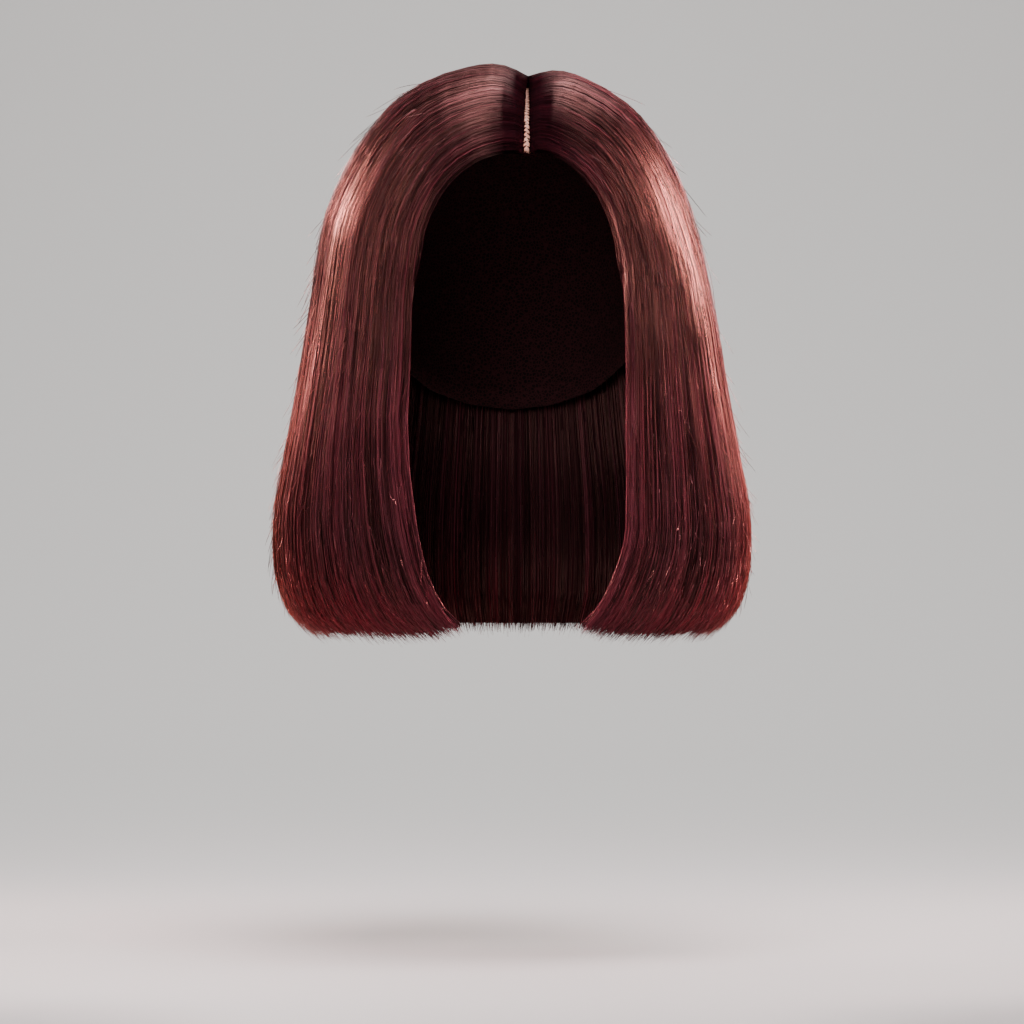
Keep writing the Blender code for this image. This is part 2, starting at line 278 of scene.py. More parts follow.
def columnAt(side, place, outer):
    # the stations of one hair, on the wall's outer or its inner surface
    level = cap["wall"] + hair["seat"]
    points = []
    lift = mix(hair["edgeLiftShare"], 1.0, float(smooth(place / hair["fullLiftPlace"])))
    valley = hair["crownValley"] * float(smooth(place / hair["crownPlace"]))
    for way, liftLeft, liftRight in hair["dome"]:
        direction = wayDown(side, place, way)
        overStrip = 1.0 - float(grown(way, *hair["overStrip"]))
        rise = overStrip * hair["rootLevel"]
        point = onCap(direction, level + (rise if outer else 0.0))
        if outer:
            full = lift * mix(valley, 1.0, liftLeft if side < 0 else liftRight)
            back = hair["backLift"] if direction.y >= 0.0 else hair["frontLift"]
            point.x += direction.x * hair["sideLift"] * full
            point.y += direction.y * back * full
            point.z += direction.z * hair["topLift"] * full
        points.append(point)
    halfWidth = fit["halfWidth"] + level + (hair["sideLift"] if outer else 0.0)
    backReach = fit["back"] + level + (hair["backLift"] if outer else 0.0)
    flare = hair["sideFlare"] if outer else hair["innerFlare"]
    tuck = hair["backTuck"] if outer else hair["innerBackTuck"]
    for row in hair["outer"] if outer else hair["inner"]:
        points.append(curtainPoint(side, place, row, halfWidth, backReach, flare, tuck))
    return points


def splined(points, count):
    # a smooth curve through the stations, sampled at even steps of its length
    known = np.array([tuple(p) for p in points])
    chord = np.concatenate([[0.0], np.cumsum(np.linalg.norm(np.diff(known, axis=0), axis=1))])
    slope = np.gradient(known, chord, axis=0)
    at = np.linspace(0.0, chord[-1], 6 * count)
    low = np.clip(np.searchsorted(chord, at, side="right") - 1, 0, len(chord) - 2)
    step = (chord[low + 1] - chord[low])[:, None]
    t = (at - chord[low])[:, None] / step
    fine = (
        (2 * t**3 - 3 * t**2 + 1) * known[low]
        + (t**3 - 2 * t**2 + t) * step * slope[low]
        + (3 * t**2 - 2 * t**3) * known[low + 1]
        + (t**3 - t**2) * step * slope[low + 1]
    )
    length = np.concatenate([[0.0], np.cumsum(np.linalg.norm(np.diff(fine, axis=0), axis=1))])
    wanted = np.linspace(0.0, length[-1], count)
    return np.stack([np.interp(wanted, length, fine[:, k]) for k in range(3)], axis=1)


def surfaceGrid(side, outer):
    places = np.linspace(0.0, 1.0, hair["columns"])
    return np.stack([splined(columnAt(side, p, outer), hair["rows"]) for p in places])


grids = {(side, outer): surfaceGrid(side, outer) for side in (-1, 1) for outer in (True, False)}
print("hair surfaces ready")


def fromGrid(grid, place, fall):
    # place and fall from 0 to 1; a fall over 1 runs on past the hem
    columns, rows = grid.shape[:2]
    u = np.clip(place, 0.0, 1.0) * (columns - 1)
    v = np.clip(fall, 0.0, None) * (rows - 1)
    i = np.minimum(u.astype(int), columns - 2)
    j = np.minimum(v.astype(int), rows - 2)
    a = (u - i)[..., None]
    b = (v - j)[..., None]
    low = grid[i, j] * (1 - a) + grid[i + 1, j] * a
    high = grid[i, j + 1] * (1 - a) + grid[i + 1, j + 1] * a
    return low * (1 - b) + high * b


def unit(v):
    return v / np.maximum(np.linalg.norm(v, axis=-1, keepdims=True), 1e-9)


def inHair(side, place, fall, depth, lift=0.0):
    # depth is a share of the wall from its outer surface to its inner one, lift is in
    # metres outwards; returns the points and the directions outwards
    outside = grids[side, True]
    aside, along = hair["placeStep"], hair["fallStep"]
    outer = fromGrid(outside, place, fall)
    inner = fromGrid(grids[side, False], place, fall)
    wide = fromGrid(outside, np.clip(place + aside, 0, 1), fall)
    near = fromGrid(outside, np.clip(place - aside, 0, 1), fall)
    ahead = fromGrid(outside, place, fall + along)
    back = fromGrid(outside, place, np.clip(fall - along, 0, None))
    out = unit(np.cross(wide - near, ahead - back))
    flat = outer * (1.0, 1.0, 0.0) + (0.0, 0.0, hair["outwardRise"])
    out = out * np.sign(np.sum(out * flat, axis=-1, keepdims=True))
    point = outer + (inner - outer) * np.broadcast_to(depth, place.shape)[..., None]
    return point + out * np.broadcast_to(lift, place.shape)[..., None], out


lockRelief = {
    "waves": (  # radians across one half, phase, bend, its radians down and across, height in mm
        (107.0, 1.0, 1.3, 3.0, 9.0, 0.46),
        (283.0, 2.0, 1.1, 4.0, -21.0, 0.17),
        (1130.0, 5.0, 1.4, 5.0, 33.0, 0.07),
    ),
    "phase": 3.1,
    "sidePhase": 0.17,
    "grows": (0.01, 0.30),  # fall at which it begins to grow, and over how much
    "rootShare": 0.2,
}


def relief(side, place, fall):
    # the height of the locks over the mean surface, in metres
    phase = lockRelief["phase"] * (1.0 + side * lockRelief["sidePhase"])
    height = 0.0
    for waves, shift, bend, down, across, tall in lockRelief["waves"]:
        wander = bend * np.sin(fall * down + place * across)
        height = height + tall * np.sin(place * waves + shift * phase + wander)
    return height * mm * mix(lockRelief["rootShare"], 1.0, grown(fall, *lockRelief["grows"]))


# Meshes
def finishMesh(name, points, faces, uv, material):
    mesh = bpy.data.meshes.new(name)
    sides = faces.shape[1]
    mesh.vertices.add(len(points))
    mesh.vertices.foreach_set("co", points.astype(np.float32).ravel())
    mesh.loops.add(faces.size)
    mesh.loops.foreach_set("vertex_index", faces.astype(np.int32).ravel())
    mesh.polygons.add(len(faces))
    mesh.polygons.foreach_set("loop_start", np.arange(0, faces.size, sides, dtype=np.int32))
    mesh.update(calc_edges=True)
    mesh.validate()
    layer = mesh.uv_layers.new(name="OFBake")
    layer.data.foreach_set("uv", uv[faces.ravel()].astype(np.float32).ravel())
    mesh.shade_smooth()
    mesh.materials.append(material)
    piece = bpy.data.objects.new(name, mesh)
    bpy.context.scene.collection.objects.link(piece)
    return piece


def addTone(piece, name, values):
    layer = piece.data.attributes.new(name, "FLOAT", "POINT")
    layer.data.foreach_set("value", values.astype(np.float32).ravel())


def strandMesh(name, paths, outs, radii, dyes, uv, material):
    # every strand is a closed tube of three sides: paths and outs are strands by
    # points by 3, and radii, dyes and uv follow the points
    count, steps = paths.shape[:2]
    tangent = unit(np.gradient(paths, axis=1))
    across = unit(np.cross(outs, tangent))
    outward = np.cross(tangent, across)
    rings = [
        paths + radii[..., None] * (math.cos(t) * across + math.sin(t) * outward)
        for t in np.radians((90.0, 210.0, 330.0))
    ]
    points = np.stack(rings, axis=2).reshape(-1, 3)
    first = np.arange(count)[:, None, None] * steps * 3
    base = first + np.arange(steps - 1)[None, :, None] * 3
    corner = np.arange(3)[None, None, :]
    beside = (corner + 1) % 3
    tip = first[:, 0] + (steps - 1) * 3
    faces = [
        np.stack([base + corner, base + beside, base + 3 + beside], -1),
        np.stack([base + corner, base + 3 + beside, base + 3 + corner], -1),
        np.concatenate([first[:, 0], first[:, 0] + 2, first[:, 0] + 1], axis=-1),
        np.concatenate([tip, tip + 1, tip + 2], axis=-1),
    ]
    faces = np.concatenate([f.reshape(-1, 3) for f in faces])
    piece = finishMesh(name, points, faces, np.repeat(uv.reshape(-1, 2), 3, 0), material)
    for key, values in dyes.items():
        addTone(piece, key, np.repeat(values.reshape(-1), 3))
    return piece


def wallMesh(name, outer, inner, uv, material):
    # a closed wall between two grids of the same size
    columns, rows = outer.shape[:2]
    points = np.concatenate([outer.reshape(-1, 3), inner.reshape(-1, 3)])
    uv = np.concatenate([uv.reshape(-1, 2)] * 2)
    index = np.arange(columns * rows).reshape(columns, rows)
    under = index + columns * rows
    faces = [
        np.stack([index[:-1, :-1], index[1:, :-1], index[1:, 1:], index[:-1, 1:]], -1),
        np.stack([under[:-1, 1:], under[1:, 1:], under[1:, :-1], under[:-1, :-1]], -1),
        np.stack([under[:-1, 0], under[1:, 0], index[1:, 0], index[:-1, 0]], -1),
        np.stack([index[:-1, -1], index[1:, -1], under[1:, -1], under[:-1, -1]], -1),
        np.stack([index[0, :-1], index[0, 1:], under[0, 1:], under[0, :-1]], -1),
        np.stack([under[-1, :-1], under[-1, 1:], index[-1, 1:], index[-1, :-1]], -1),
    ]
    faces = np.concatenate([f.reshape(-1, 4) for f in faces])
    return finishMesh(name, points, faces, uv, material)


# Materials
def linear(hexColour):
    values = [int(hexColour[i : i + 2], 16) / 255.0 for i in (1, 3, 5)]
    return tuple(v / 12.92 if v <= 0.04045 else ((v + 0.055) / 1.055) ** 2.4 for v in values) + (1.0,)


def addNode(tree, kind, settings=None, **links):
    # settings go on the node itself, links on its sockets: a value or another socket,
    # under the socket's name or, as in i0, its number
    node = tree.nodes.new(kind)
    for key, value in (settings or {}).items():
        setattr(node, key, value)
    for key, value in links.items():
        slot = node.inputs[int(key[1:])] if key[0] == "i" and key[1:].isdigit() else node.inputs[key]
        if isinstance(value, bpy.types.NodeSocket):
            tree.links.new(value, slot)
        else:
            slot.default_value = value
    return node


def newMaterial(name):
    material = bpy.data.materials.new(name)
    material.use_nodes = True
    return material, material.node_tree, material.node_tree.nodes["Principled BSDF"]


fibre = {
    "girth": 330.0,  # millimetres from the front edge to the middle of the back
    "length": 380.0,  # millimetres from root to tip
    "streaks": (  # width and length in millimetres, and how much each one tells
        (7.5, 260.0, 0.16),
        (0.9, 150.0, 0.42),
    ),
    "stops": (0.10, 0.50, 0.92),  # tones at which a dye is dark, middle and bright
    "plum": ("#050203", "#210b11", "#542832"),
    "crimson": ("#080102", "#2c050b", "#721c2a"),
    # copper colours for the painted glow of back light shining through the flank
    "copperGlow": ("#120402", "#42150b", "#82402c"),
    "ior": 1.55,
    "metallic": 0.35,  # at full lustre: the sheen takes some of the dye's colour
    "roughStreaks": 0.45,  # how much the roughness follows the streaks
    "bumpDepth": 0.5,  # millimetres
}

fibreKinds = {
    # name: roughness, specular level, colour of the glint, painted shade as a share of the dye's
    # colour, bump
    "heatSetFibre": (0.26, 0.85, "#ffb0a4", 1.0, 0.0),
    # the wall under the strands is the same fibre darkened as painted shade
    "heatSetFibreUnder": (0.60, 0.10, "#e0a0a0", 0.45, 0.9),
}


def fibreMaterial(name):
    # Heat-set polyester fibre: a dyed core under a smooth clear skin. Light runs along
    # it in pale bands that are wider than any one hair, and the dye shows between them.
    roughness, specular, glint, paintedShadeShare, roughened = fibreKinds[name]
    material, tree, shader = newMaterial(name)
    coords = addNode(tree, "ShaderNodeUVMap", {"uv_map": "OFBake"})
    level = addNode(tree, "ShaderNodeAttribute", {"attribute_name": "tone"}).outputs["Fac"]
    multiplyAdd = {"operation": "MULTIPLY_ADD"}
    for width, length, share in fibre["streaks"]:
        scale = (fibre["girth"] / width, fibre["length"] / length, 1.0)
        scaled = addNode(tree, "ShaderNodeMapping", Vector=coords.outputs[0], Scale=scale)
        noise = addNode(
            tree, "ShaderNodeTexNoise", Vector=scaled.outputs[0], Scale=1.0, Detail=1.0
        )
        centred = addNode(
            tree, "ShaderNodeMath", {"operation": "SUBTRACT"}, i0=noise.outputs["Fac"], i1=0.5
        )
        streak = centred.outputs[0]
        level = addNode(tree, "ShaderNodeMath", multiplyAdd, i0=streak, i1=share, i2=level).outputs[0]
    colour = None
    for hue in ("plum", "crimson", "copperGlow"):
        ramp = addNode(tree, "ShaderNodeValToRGB", Fac=level)
        stops = ramp.color_ramp.elements
        stops.new(0.5)
        for stop, place, shade in zip(stops, fibre["stops"], fibre[hue]):
            stop.position = place
            stop.color = [paintedShadeShare * v for v in linear(shade)[:3]] + [1.0]
        if colour is None:
            colour = ramp.outputs[0]
            continue
        amount = addNode(tree, "ShaderNodeAttribute", {"attribute_name": hue})
        blend = addNode(
            tree,
            "ShaderNodeMix",
            {"data_type": "RGBA", "blend_type": "MIX"},
            i0=amount.outputs["Fac"],
            i6=colour,
            i7=ramp.outputs[0],
        )
        colour = blend.outputs[2]
    tree.links.new(colour, shader.inputs["Base Color"])
    dulled = addNode(
        tree, "ShaderNodeMath", multiplyAdd, i0=streak, i1=fibre["roughStreaks"], i2=roughness
    )
    tree.links.new(dulled.outputs[0], shader.inputs["Roughness"])
    shader.inputs["IOR"].default_value = fibre["ior"]
    lustre = addNode(tree, "ShaderNodeAttribute", {"attribute_name": "lustre"}).outputs["Fac"]
    for socket, most in (("Metallic", fibre["metallic"]), ("Specular IOR Level", specular)):
        amount = addNode(tree, "ShaderNodeMath", {"operation": "MULTIPLY"}, i0=lustre, i1=most)
        tree.links.new(amount.outputs[0], shader.inputs[socket])
    shader.inputs["Specular Tint"].default_value = linear(glint)
    if roughened:
        bump = addNode(
            tree,
            "ShaderNodeBump",
            Height=noise.outputs["Fac"],
            Strength=roughened,
            Distance=fibre["bumpDepth"] * mm,
        )
        tree.links.new(bump.outputs[0], shader.inputs["Normal"])
    return material


strandFibre = fibreMaterial("heatSetFibre")
underFibre = fibreMaterial("heatSetFibreUnder")

net = {
    "loop": 1.8,  # millimetres from one loop to the next
    "colours": ((0.04, "#2c1013"), (0.22, "#0d0304")),  # on the thread, and in the loops
    "bump": 0.6,
    "thread": 0.4,  # millimetres thick
    "roughness": 0.9,
    "specular": 0.12,
}


def knittedNet():
    # Warp-knitted nylon net: matt, dark, with rows of small open loops.
    material, tree, shader = newMaterial("knittedNylonNet")
    coords = addNode(tree, "ShaderNodeTexCoord")
    loops = addNode(
        tree,
        "ShaderNodeTexVoronoi",
        {"feature": "DISTANCE_TO_EDGE"},
        Vector=coords.outputs["Object"],
        Scale=1.0 / (net["loop"] * mm),
    )
    ramp = addNode(tree, "ShaderNodeValToRGB", Fac=loops.outputs["Distance"])
    for stop, (place, shade) in zip(ramp.color_ramp.elements, net["colours"]):
        stop.position = place
        stop.color = linear(shade)
    tree.links.new(ramp.outputs[0], shader.inputs["Base Color"])
    bump = addNode(
        tree,
        "ShaderNodeBump",
        {"invert": True},
        Height=loops.outputs["Distance"],
        Strength=net["bump"],
        Distance=net["thread"] * mm,
    )
    tree.links.new(bump.outputs[0], shader.inputs["Normal"])
    shader.inputs["Roughness"].default_value = net["roughness"]
    shader.inputs["Specular IOR Level"].default_value = net["specular"]
    return material


lace = {
    "weave": 0.7,  # millimetres, coarser than the real mesh, which is too fine to show
    "patches": 6.0,  # millimetres
    "colours": ((0.3, "#80594a"), (0.7, "#9c7867")),
    "bump": 0.4,
    "thread": 0.3,  # millimetres thick
    "roughness": 0.7,
    "specular": 0.15,
}


def silkLace():
    # Silk-faced lace, woven and dyed to a skin tone: matt, a little pinker in places.
    material, tree, shader = newMaterial("silkLace")
    coords = addNode(tree, "ShaderNodeTexCoord").outputs["Object"]
    weaveScale = 1.0 / (lace["weave"] * mm)
    weave = addNode(tree, "ShaderNodeTexNoise", Vector=coords, Scale=weaveScale, Detail=2.0)
    patchScale = 1.0 / (lace["patches"] * mm)
    patches = addNode(tree, "ShaderNodeTexNoise", Vector=coords, Scale=patchScale)
    ramp = addNode(tree, "ShaderNodeValToRGB", Fac=patches.outputs["Fac"])
    for stop, (place, shade) in zip(ramp.color_ramp.elements, lace["colours"]):
        stop.position = place
        stop.color = linear(shade)
    tree.links.new(ramp.outputs[0], shader.inputs["Base Color"])
    bump = addNode(
        tree,
        "ShaderNodeBump",
        Height=weave.outputs["Fac"],
        Strength=lace["bump"],
        Distance=lace["thread"] * mm,
    )
    tree.links.new(bump.outputs[0], shader.inputs["Normal"])
    shader.inputs["Roughness"].default_value = lace["roughness"]
    shader.inputs["Specular IOR Level"].default_value = lace["specular"]
    return material


# The strands

# Falls of a whole hair's points: close together over the dome and in the curl
stretches = ((0.0, 0.09, 6), (0.09, 0.42, 11), (0.42, 0.80, 5), (0.80, 1.0, 7))
wholeHair = np.concatenate([np.linspace(*stretch)[:-1] for stretch in stretches] + [[1.0]])

sections = {
    # name: the sides and places that it covers, its node and its slot
    "hairLeft": (((-1, 0.0, 0.55),), "hair_left", "fibre_side"),
    "hairRight": (((1, 0.0, 0.55),), "hair_right", "fibre_side"),
    "hairBack": (((-1, 0.55, 1.0), (1, 0.55, 1.0)), "hair_back", "fibre_back"),
}

locks = {
    # widths and spacings are shares of one half
    "width": 0.006,
    "widthWaves": (157.0, 71.0),  # radians across one half: no two locks are as wide
    "pull": 0.07,  # of a strand to the middle of its lock
    "pullFall": 0.25,  # by which it is pulled in full
    "sway": 0.0020,
    "swayTurns": (1.5, 4.5),  # radians down a hair
    "swayPhases": (0.0, 6.3),
    "waver": 0.010,  # slope that a strand's own bends have
    "longestBend": 16.0,  # millimetres
    "glints": (0.30, 1.50),  # how much one strand shines against the next
    "glintPower": 1.5,
    "tuft": 0.0150,  # between tufts of roots
    "tuftStarts": (0.55, 1.0),  # how far a tuft starts from the parting against the last
    "rootStarts": (0.6, 1.1),  # and a root against its tuft
    "rootsFront": 0.0085,  # fall at which the last roots start, at the front
    "rootsCrown": 0.001,
    "rootDepth": 0.7,  # millimetres that the roots sink to the parting
    "sunkFall": 0.030,  # by which they have come up
    "liftFall": 0.06,  # by which a strand has its lift
    "rootThin": (0.35, 0.030),  # share of the radius at the root, and fall to the full one
    "tipThin": (0.12, 0.022, 0.6),  # share at the tip, fall from the full radius, power
    "reliefDepth": 6.0,  # the relief is gone a sixth of the wall down
    "depthPower": 1.3,  # more strands lie near the surface than deep
    "overlap": 0.01,  # of one section over the next
}

dyeing = {
    # two numbers for a fall are where it begins and over how much it grows, two for an
    # amount are the left side's and the right side's, which the bodies take too
    # the flank where the side and rear lamps fall; the copper and crimson painted there are light
    "litFlank": (0.40, 0.13),  # place of its middle, and half its width
    # the copper glow is painted light: light from the lamps behind shining through the outer flank
    "copperGlow": (0.55, 0.42),
    "copperGlowFall": (0.42, 0.25),
    # crimson on the lit flank is a painted highlight: the red glints of the side lamps
    "crimsonFlankGlints": 0.40,
    "crimsonEnds": (0.85, 0.50),
    "crimsonLocks": 0.12,
    "crimsonWaves": (97.0, 1.7, 1.1, 40.0),  # radians across, for each side, bend and its radians
    "endsFall": (0.82, 0.13),
    "endsPlace": 0.22,  # from which the ends have their full colour
    "endsAtFront": 0.2,
    "endsOffFlank": 0.7,  # how much less of it the flank has
    "dull": (0.042, 0.048),  # fall up to which the hair beside the parting is dull
    "lustreFall": 0.045,
    "lustrePlace": 0.13,
    "lustreAtFront": 0.25,
    "toneWaves": ((61.0, 1.0, 0.05), (163.0, -2.0, 0.05)),  # radians across, for each side, share
    # painted shade and light: the tone is darkened at the roots, where the parting lies in shade, a
    # little darker over the upper hair, and lighter down the lower hair as painted light that evens
    # out the lamps
    "shade": (  # fall, share of the tone
        (0.00, 0.25),
        (0.06, 0.70),
        (0.13, 0.95),
        (0.25, 0.85),
        (0.48, 0.90),
        (0.60, 1.35),
        (0.76, 1.45),
        (0.88, 1.30),
        (1.00, 1.15),
    ),
}

layers = {
    # start and end are shares of a hair's length, depth a share of the wall's
    # thickness from its outer surface, lift and radius are in millimetres
    "Outer": {
        "count": {"hairLeft": 1270, "hairRight": 1270, "hairBack": 1120},
        "along": wholeHair,
        "start": (0.0, 0.0),
        "end": (0.984, 1.002),
        "depth": (0.0, 0.06),
        "lift": (-0.6, 0.2),
        "radius": (0.15, 0.26),
        "tone": (0.42, 0.21),
    },
    "Edge": {
        "count": {"hairLeft": 120, "hairRight": 120},
        "places": (0.0, 0.014),
        "along": wholeHair,
        "start": (0.0, 0.0),
        "end": (0.984, 1.000),
        "depth": (0.0, 1.0),
        "lift": (0.0, 0.0),
        "radius": (0.14, 0.24),
        # darker than the outer strands: painted shade along the face edge
        "tone": (0.28, 0.14),
    },
    "Hem": {
        "count": {"hairLeft": 850, "hairRight": 850, "hairBack": 950},
        "along": np.linspace(0.0, 1.0, 7),
        "start": (0.76, 0.86),
        "end": (0.984, 1.002),
        "depth": (0.06, 0.98),
        "lift": (0.0, 0.0),
        "radius": (0.20, 0.32),
        "tone": (0.46, 0.16),
    },
    "Inside": {
        "count": {"hairLeft": 210, "hairRight": 210, "hairBack": 500},
        "along": np.linspace(0.0, 1.0, 11),
        "start": (0.34, 0.46),
        "end": (0.978, 0.998),
        "depth": (0.94, 1.0),
        "lift": (0.0, 0.0),
        "radius": (0.24, 0.40),
        "tone": (0.30, 0.12),
    },
    "Ends": {
        "count": {"hairLeft": 1000, "hairRight": 1000, "hairBack": 1100},
        "along": np.linspace(0.0, 1.0, 5),
        "start": (0.86, 0.95),
        "end": (0.945, 1.012),
        "depth": (0.0, 0.45),
        "lift": (0.2, 2.4),
        "radius": (0.11, 0.17),
        "tone": (0.90, 0.22),
    },
    "Frost": {
        "count": {"hairLeft": 700, "hairRight": 700, "hairBack": 400},
        "along": np.linspace(0.0, 1.0, 4),
        "start": (0.88, 0.965),
        "end": (0.975, 1.014),
        "depth": (0.0, 0.3),
        "lift": (0.8, 5.0),
        "radius": (0.07, 0.11),
        "tone": (1.10, 0.20),
    },
}


def sinkAt(fall):
    # the hair goes down to the lace at its roots
    return locks["rootDepth"] * mm * (1.0 - smooth(fall / locks["sunkFall"]))


def lockTone(side, place):
    # neighbouring strands share much of their tone, as locks of one dye batch do
    return sum(
        share * np.sin(place * waves + shift * side) for waves, shift, share in dyeing["toneWaves"]
    )


def dyesAt(side, place, fall, tone):
    # plum at the front and back, a painted glow of back light in copper down the outer flank, a
    # painted crimson highlight on that lit flank, crimson towards the ends, and painted shade at the
    # roots
    right = int(side >= 0)
    flankPlace, flankWidth = dyeing["litFlank"]
    litFlank = np.exp(-(((place - flankPlace) / flankWidth) ** 2))
    # painted glow: copper where light from behind shines through the flank
    copperGlow = dyeing["copperGlow"][right] * litFlank * grown(fall, *dyeing["copperGlowFall"])
    waves, shift, bend, bendWaves = dyeing["crimsonWaves"]
    share = 0.5 + 0.5 * np.sin(place * waves + shift * side + bend * np.sin(place * bendWaves))
    ends = grown(fall, *dyeing["endsFall"]) * (1.0 - dyeing["endsOffFlank"] * litFlank)
    ends = ends * mix(dyeing["endsAtFront"], 1.0, smooth(place / dyeing["endsPlace"]))
    # painted highlight: crimson glints on the lit flank, then the ends' own crimson
    crimson = dyeing["crimsonFlankGlints"] * litFlank * share + dyeing["crimsonEnds"][right] * ends
    crimson = crimson + dyeing["crimsonLocks"] * share
    dull = dyeing["dull"][right] * (1.0 - smooth(place / hair["crownPlace"]))
    shine = mix(dyeing["lustreAtFront"], 1.0, smooth(place / dyeing["lustrePlace"]))
    # painted shade and light by fall, multiplied into the tone
    shade = np.interp(fall, *zip(*dyeing["shade"]))
    return {
        "tone": np.clip(tone * shade, 0.0, 1.0),
        "copperGlow": np.clip(copperGlow, 0.0, 1.0),
        "crimson": np.clip(crimson, 0.0, 1.0),
        "lustre": smooth((fall - dull) / dyeing["lustreFall"]) * shine,
    }


def rootFalls(rng, place):
    # roots start in tufts, further from the parting at the front than at the crown
    toCrown = np.clip(place / hair["crownPlace"], 0.0, 1.0)
    last = mix(locks["rootsFront"], locks["rootsCrown"], toCrown**0.5)
    tufts = rng.uniform(*locks["tuftStarts"], int(1.0 / locks["tuft"]) + 2)
    start = last * tufts[(place / locks["tuft"]).astype(int)]
    return start * rng.uniform(*locks["rootStarts"], len(place))


def strandPlaces(rng, place, fall):
    # each strand is pulled to the middle of its lock, and sways
    count = len(place)
    wobble = sum(0.5 * np.sin(place * waves) for waves in locks["widthWaves"])
    middle = (np.round(place / locks["width"] + wobble) - wobble) * locks["width"]
    reach = rng.exponential(1.0, (count, 1)) * rng.choice((-1.0, 1.0), (count, 1))
    turns = rng.uniform(*locks["swayTurns"], (count, 1))
    phase = rng.uniform(*locks["swayPhases"], (count, 1))
    sway = locks["sway"] * reach * np.sin(fall * turns + phase)
    pull = locks["pull"] * (middle - place)[:, None]
    return place[:, None] + (pull + sway) * smooth(fall / locks["pullFall"])


def strandPaths(rng, side, low, high, count, layer):
    place = low + (high - low) * (np.arange(count) + rng.uniform(0.0, 1.0, count)) / count
    start = rng.uniform(*layer["start"], count)
    end = rng.uniform(*layer["end"], count)
    depth = mix(*layer["depth"], rng.uniform(0.0, 1.0, count) ** locks["depthPower"])[:, None]
    lift = rng.uniform(*layer["lift"], count) * mm
    radius = rng.uniform(*layer["radius"], count) * mm
    whole = layer["along"] is wholeHair
    along = layer["along"][None, :]
    if whole:
        start = rootFalls(rng, place)
    length = (end - start)[:, None]
    fall = start[:, None] + length * along
    beyond = locks["overlap"]
    where = strandPlaces(rng, place, fall)
    where = np.clip(where, max(0.0, low - beyond), min(1.0, high + beyond))

    shallow = 1.0 - smooth(depth * locks["reliefDepth"])
    lifted = smooth(fall / locks["liftFall"]) if whole else along**2
    raised = relief(side, where, fall) * shallow + lift[:, None] * lifted
    apart = np.minimum(np.gradient(fall, axis=1) * fibre["length"], locks["longestBend"]) * mm
    raised = raised + locks["waver"] * apart * rng.normal(0.0, 1.0, fall.shape) * lifted
    if whole:
        raised = raised - sinkAt(fall)
    path, out = inHair(side, where, fall, depth, raised)

    tipShare, taper, power = locks["tipThin"]
    thin = radius[:, None] * np.clip((1.0 - along) * length / taper, tipShare, 1.0) ** power
    if whole:
        rootShare, growth = locks["rootThin"]
        thin = thin * np.clip(rootShare + fall / growth, 0.0, 1.0)
    tone = rng.normal(*layer["tone"], count) + lockTone(side, place)
    dyes = dyesAt(side, where, fall, tone[:, None])
    glint = rng.uniform(*locks["glints"], (count, 1)) ** locks["glintPower"]
    dyes["lustre"] = dyes["lustre"] * glint
    uv = np.stack([where, np.clip(fall, 0.0, 1.0)], axis=-1)
    return path, out, thin, dyes, uv


def gather(parts):
    # the strands of both halves as one set of arrays
    paths, outs, radii, dyes, uvs = zip(*parts)
    joined = {key: np.concatenate([d[key] for d in dyes]) for key in dyes[0]}
    whole = [np.concatenate(column) for column in (paths, outs, radii)]
    return (*whole, joined, np.concatenate(uvs))


def settle(piece, slot, *nodes):
    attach(piece, "root")
    if nodes:
        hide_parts(*nodes)


def strandLayer(sectionName, layerName, seed):
    halves, node, slot = sections[sectionName]
    layer = layers[layerName]
    rng = np.random.default_rng(seed)
    count = layer["count"][sectionName] // len(halves)
    if "places" in layer:
        halves = [(half[0], *layer["places"]) for half in halves]
    parts = [strandPaths(rng, *half, count, layer) for half in halves]
    piece = strandMesh(sectionName + layerName, *gather(parts), strandFibre)
    settle(piece, slot, node)


body = {
    "columns": 65,
    "rows": 46,
    "start": 0.007,  # falls
    "end": 0.980,
    "frontEdge": 0.008,  # place
    "sunk": 0.9,  # millimetres below the mean surface of the strands
    "inner": 0.94,  # share of the wall's thickness
    "tone": 0.45,
}


def underBody(sectionName):
    # a grooved wall under the strands, so that none of them stands over a gap
    halves, node, slot = sections[sectionName]
    fall = mix(body["start"], body["end"], np.linspace(0.0, 1.0, body["rows"]))
    outer, inner, places = [], [], []
    for side, low, high in halves:
        line = np.linspace(max(low, body["frontEdge"]), high, body["columns"])
        if side > 0 and len(halves) > 1:
            line = line[::-1][1:]
        place, fallen = np.meshgrid(line, fall, indexing="ij")
        sunk = relief(side, place, fallen) - body["sunk"] * mm - sinkAt(fallen)
        outer.append(inHair(side, place, fallen, 0.0, sunk)[0])
        inner.append(inHair(side, place, fallen, body["inner"])[0])
        places.append(np.stack([place, fallen], axis=-1))
    outer, inner, uv = (np.concatenate(x) for x in (outer, inner, places))
    piece = wallMesh(sectionName + "Body", outer, inner, uv, underFibre)
    both = np.concatenate([uv.reshape(-1, 2)] * 2)
    for key, values in dyesAt(0, both[:, 0], both[:, 1], body["tone"]).items():
        addTone(piece, key, values)
    settle(piece, slot, node)


seeds = {"section": 100, "strays": 80, "roots": {-1: 71, 1: 72}}

for order, sectionName in enumerate(sections):
    underBody(sectionName)
    for step, layerName in enumerate(layers):
        if sectionName in layers[layerName]["count"]:
            strandLayer(sectionName, layerName, seeds["section"] * order + step)
    print(sectionName, "ready")


